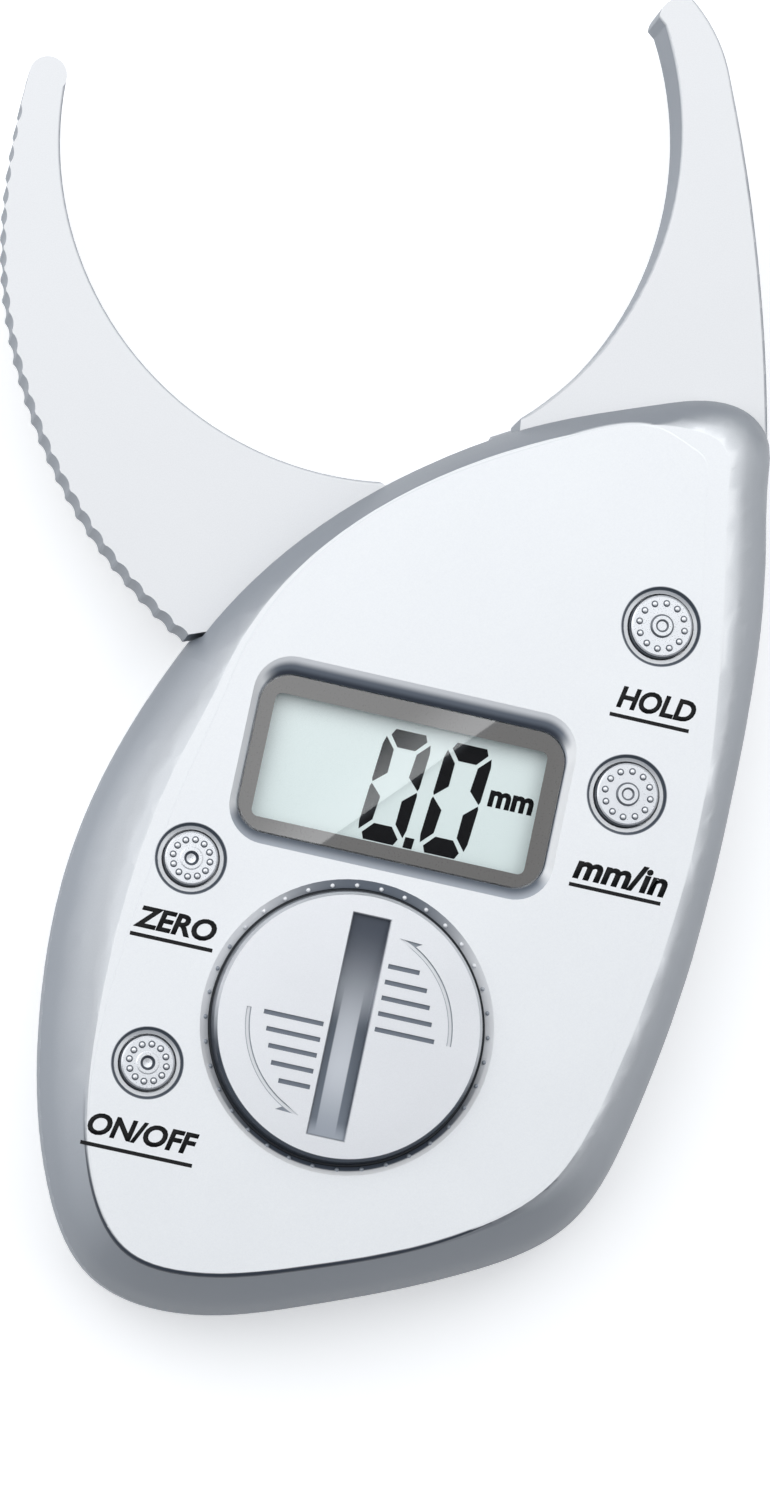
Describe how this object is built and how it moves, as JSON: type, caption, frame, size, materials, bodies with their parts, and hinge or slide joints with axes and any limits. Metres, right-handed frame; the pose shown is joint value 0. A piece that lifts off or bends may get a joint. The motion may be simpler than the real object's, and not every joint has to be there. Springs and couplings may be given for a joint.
{
  "type": "digital skinfold caliper",
  "caption": "Handheld body fat caliper with a curved fixed jaw, a sprung moving jaw, a display window, push buttons and a coin-slot battery cap.",
  "frame": {"origin": "jaw pivot axis where it meets the flat back face that the caliper rests on", "axes": "+Y towards the jaws, +X to the right along the display, +Z out of the display face"},
  "size_m": [0.1103, 0.183, 0.0254],
  "materials": {
    "case_plastic": "satin silver-white paint",
    "jaw_plastic": "fine matt",
    "cap_plastic": "fine matt",
    "button_plastic": "satin",
    "plunger_plastic": "smooth",
    "holder_plastic": "smooth",
    "clear_lens": "polished, with a grey printed border",
    "display_glass": "polished",
    "contact_rubber": "matt",
    "board": "solder mask",
    "black_epoxy": "matt",
    "ceramic": "matt",
    "code_plate": "etched",
    "steel": "turned",
    "spring_steel": "drawn wire",
    "cell_steel": "rolled sheet",
    "bronze": "sintered",
    "contact_brass": "plated strip"
  },
  "bodies": {
    "case": {"front_cover": "case_plastic", "rear_cover": "case_plastic", "fixed_jaw": "jaw_plastic", "pivot_pin": "steel", "pivot_washers": "steel", "return_spring": "spring_steel", "circuit_board": "board", "controller_chip": "black_epoxy", "board_components": "ceramic", "tact_switches": "black_epoxy", "board_screws": "steel", "display_lens": "clear_lens", "lcd_panel": "display_glass", "lcd_holder": "holder_plastic", "zebra_strips": "contact_rubber", "battery": "cell_steel", "negative_contact": "contact_brass", "positive_contact": "contact_brass", "case_screws": "steel", "jaw_screws": "steel"},
    "jaw": {"moving_jaw": "jaw_plastic", "pivot_bush": "bronze", "encoder_sector": "code_plate"},
    "battery_lid": {"battery_cap": "cap_plastic"},
    "hold_key": {"hold_button": "button_plastic", "hold_plunger": "plunger_plastic"},
    "unit_key": {"unit_button": "button_plastic", "unit_plunger": "plunger_plastic"},
    "zero_key": {"zero_button": "button_plastic", "zero_plunger": "plunger_plastic"},
    "power_key": {"power_button": "button_plastic", "power_plunger": "plunger_plastic"}
  },
  "joints": [
    {"name": "jaw_hinge", "type": "hinge", "parent": "case", "child": "jaw", "pos_m": [0, 0, 0.011], "axis": [0, 0, -1], "range_deg": [0, 56.5], "stiffness_Nm_per_rad": 0.2, "springref_deg": -20.05, "deforming": ["return_spring"]},
    {"name": "battery_lid_turn", "type": "hinge", "parent": "case", "child": "battery_lid", "pos_m": [-0.001, -0.0582, 0.022], "axis": [0, 0, 1], "range_deg": [0, 50]},
    {"name": "hold_press", "type": "slide", "parent": "case", "child": "hold_key", "axis": [0, 0, -1], "range_m": [0, 0.0005], "stiffness_N_per_m": 800},
    {"name": "unit_press", "type": "slide", "parent": "case", "child": "unit_key", "axis": [0, 0, -1], "range_m": [0, 0.0005], "stiffness_N_per_m": 800},
    {"name": "zero_press", "type": "slide", "parent": "case", "child": "zero_key", "axis": [0, 0, -1], "range_m": [0, 0.0005], "stiffness_N_per_m": 800},
    {"name": "power_press", "type": "slide", "parent": "case", "child": "power_key", "axis": [0, 0, -1], "range_m": [0, 0.0005], "stiffness_N_per_m": 800}
  ]
}
